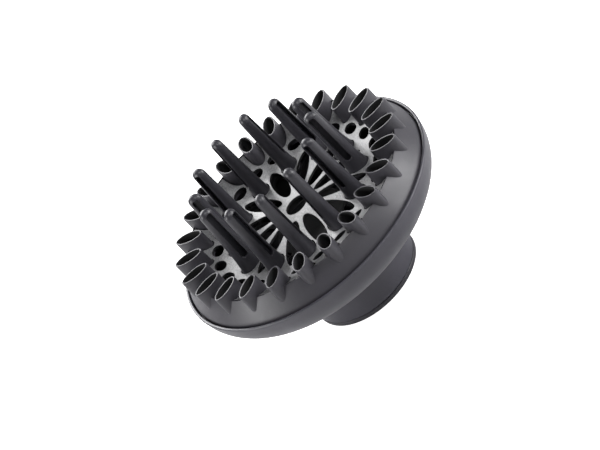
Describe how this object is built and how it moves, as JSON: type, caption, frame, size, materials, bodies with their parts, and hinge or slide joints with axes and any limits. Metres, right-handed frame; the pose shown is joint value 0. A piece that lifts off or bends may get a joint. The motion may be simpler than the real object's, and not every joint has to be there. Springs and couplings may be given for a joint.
{
  "type": "hair dryer diffuser",
  "caption": "Round push-on diffuser: a bowl with a neck, a rim of elliptical air tubes, a perforated pale dish and tall hollow prongs that spread and lift the hair.",
  "frame": {"origin": "centre of the neck's open end, on its lowest face", "axes": "+Z along the air path, out of the neck and through the dish towards the prong tips; +X through the first prong and the first tube"},
  "size_m": [0.1504, 0.1504, 0.1008],
  "materials": {
    "shell_grey": "satin moulded, dark grey with a slight violet cast",
    "face_grey": "satin moulded, dark grey, light reflections along the tube lips",
    "prong_grey": "smooth moulded, dark grey, semi-gloss",
    "plate_silver": "satin pale grey, like a silver-painted moulding",
    "inner_black": "matt black",
    "liner_grey": "satin dark grey",
    "clip_black": "matt black, springy",
    "spring_steel": "bright spring steel",
    "screw_steel": "zinc-plated"
  },
  "bodies": {
    "sleeve": {"neck_liner": "liner_grey", "retaining_ring": "spring_steel", "nozzle_clip_1": "clip_black", "nozzle_clip_2": "clip_black", "nozzle_clip_3": "clip_black", "nozzle_clip_4": "clip_black"},
    "head": {"bowl_shell": "shell_grey", "face_ring": "face_grey", "grille_plate": "plate_silver", "prong_carrier": "inner_black", "air_deflector": "inner_black", "prong_01": "prong_grey", "prong_02": "prong_grey", "prong_03": "prong_grey", "prong_04": "prong_grey", "prong_05": "prong_grey", "prong_06": "prong_grey", "prong_07": "prong_grey", "prong_08": "prong_grey", "prong_09": "prong_grey", "prong_10": "prong_grey", "prong_11": "prong_grey", "prong_12": "prong_grey", "case_screw_1": "screw_steel", "case_screw_2": "screw_steel", "case_screw_3": "screw_steel", "case_screw_4": "screw_steel", "carrier_screw_1": "screw_steel", "carrier_screw_2": "screw_steel", "carrier_screw_3": "screw_steel", "carrier_screw_4": "screw_steel"}
  },
  "joints": [
    {"name": "head_swivel", "type": "hinge", "parent": "sleeve", "child": "head", "pos_m": [0, 0, 0.016], "axis": [0, 0, 1], "continuous": true}
  ]
}
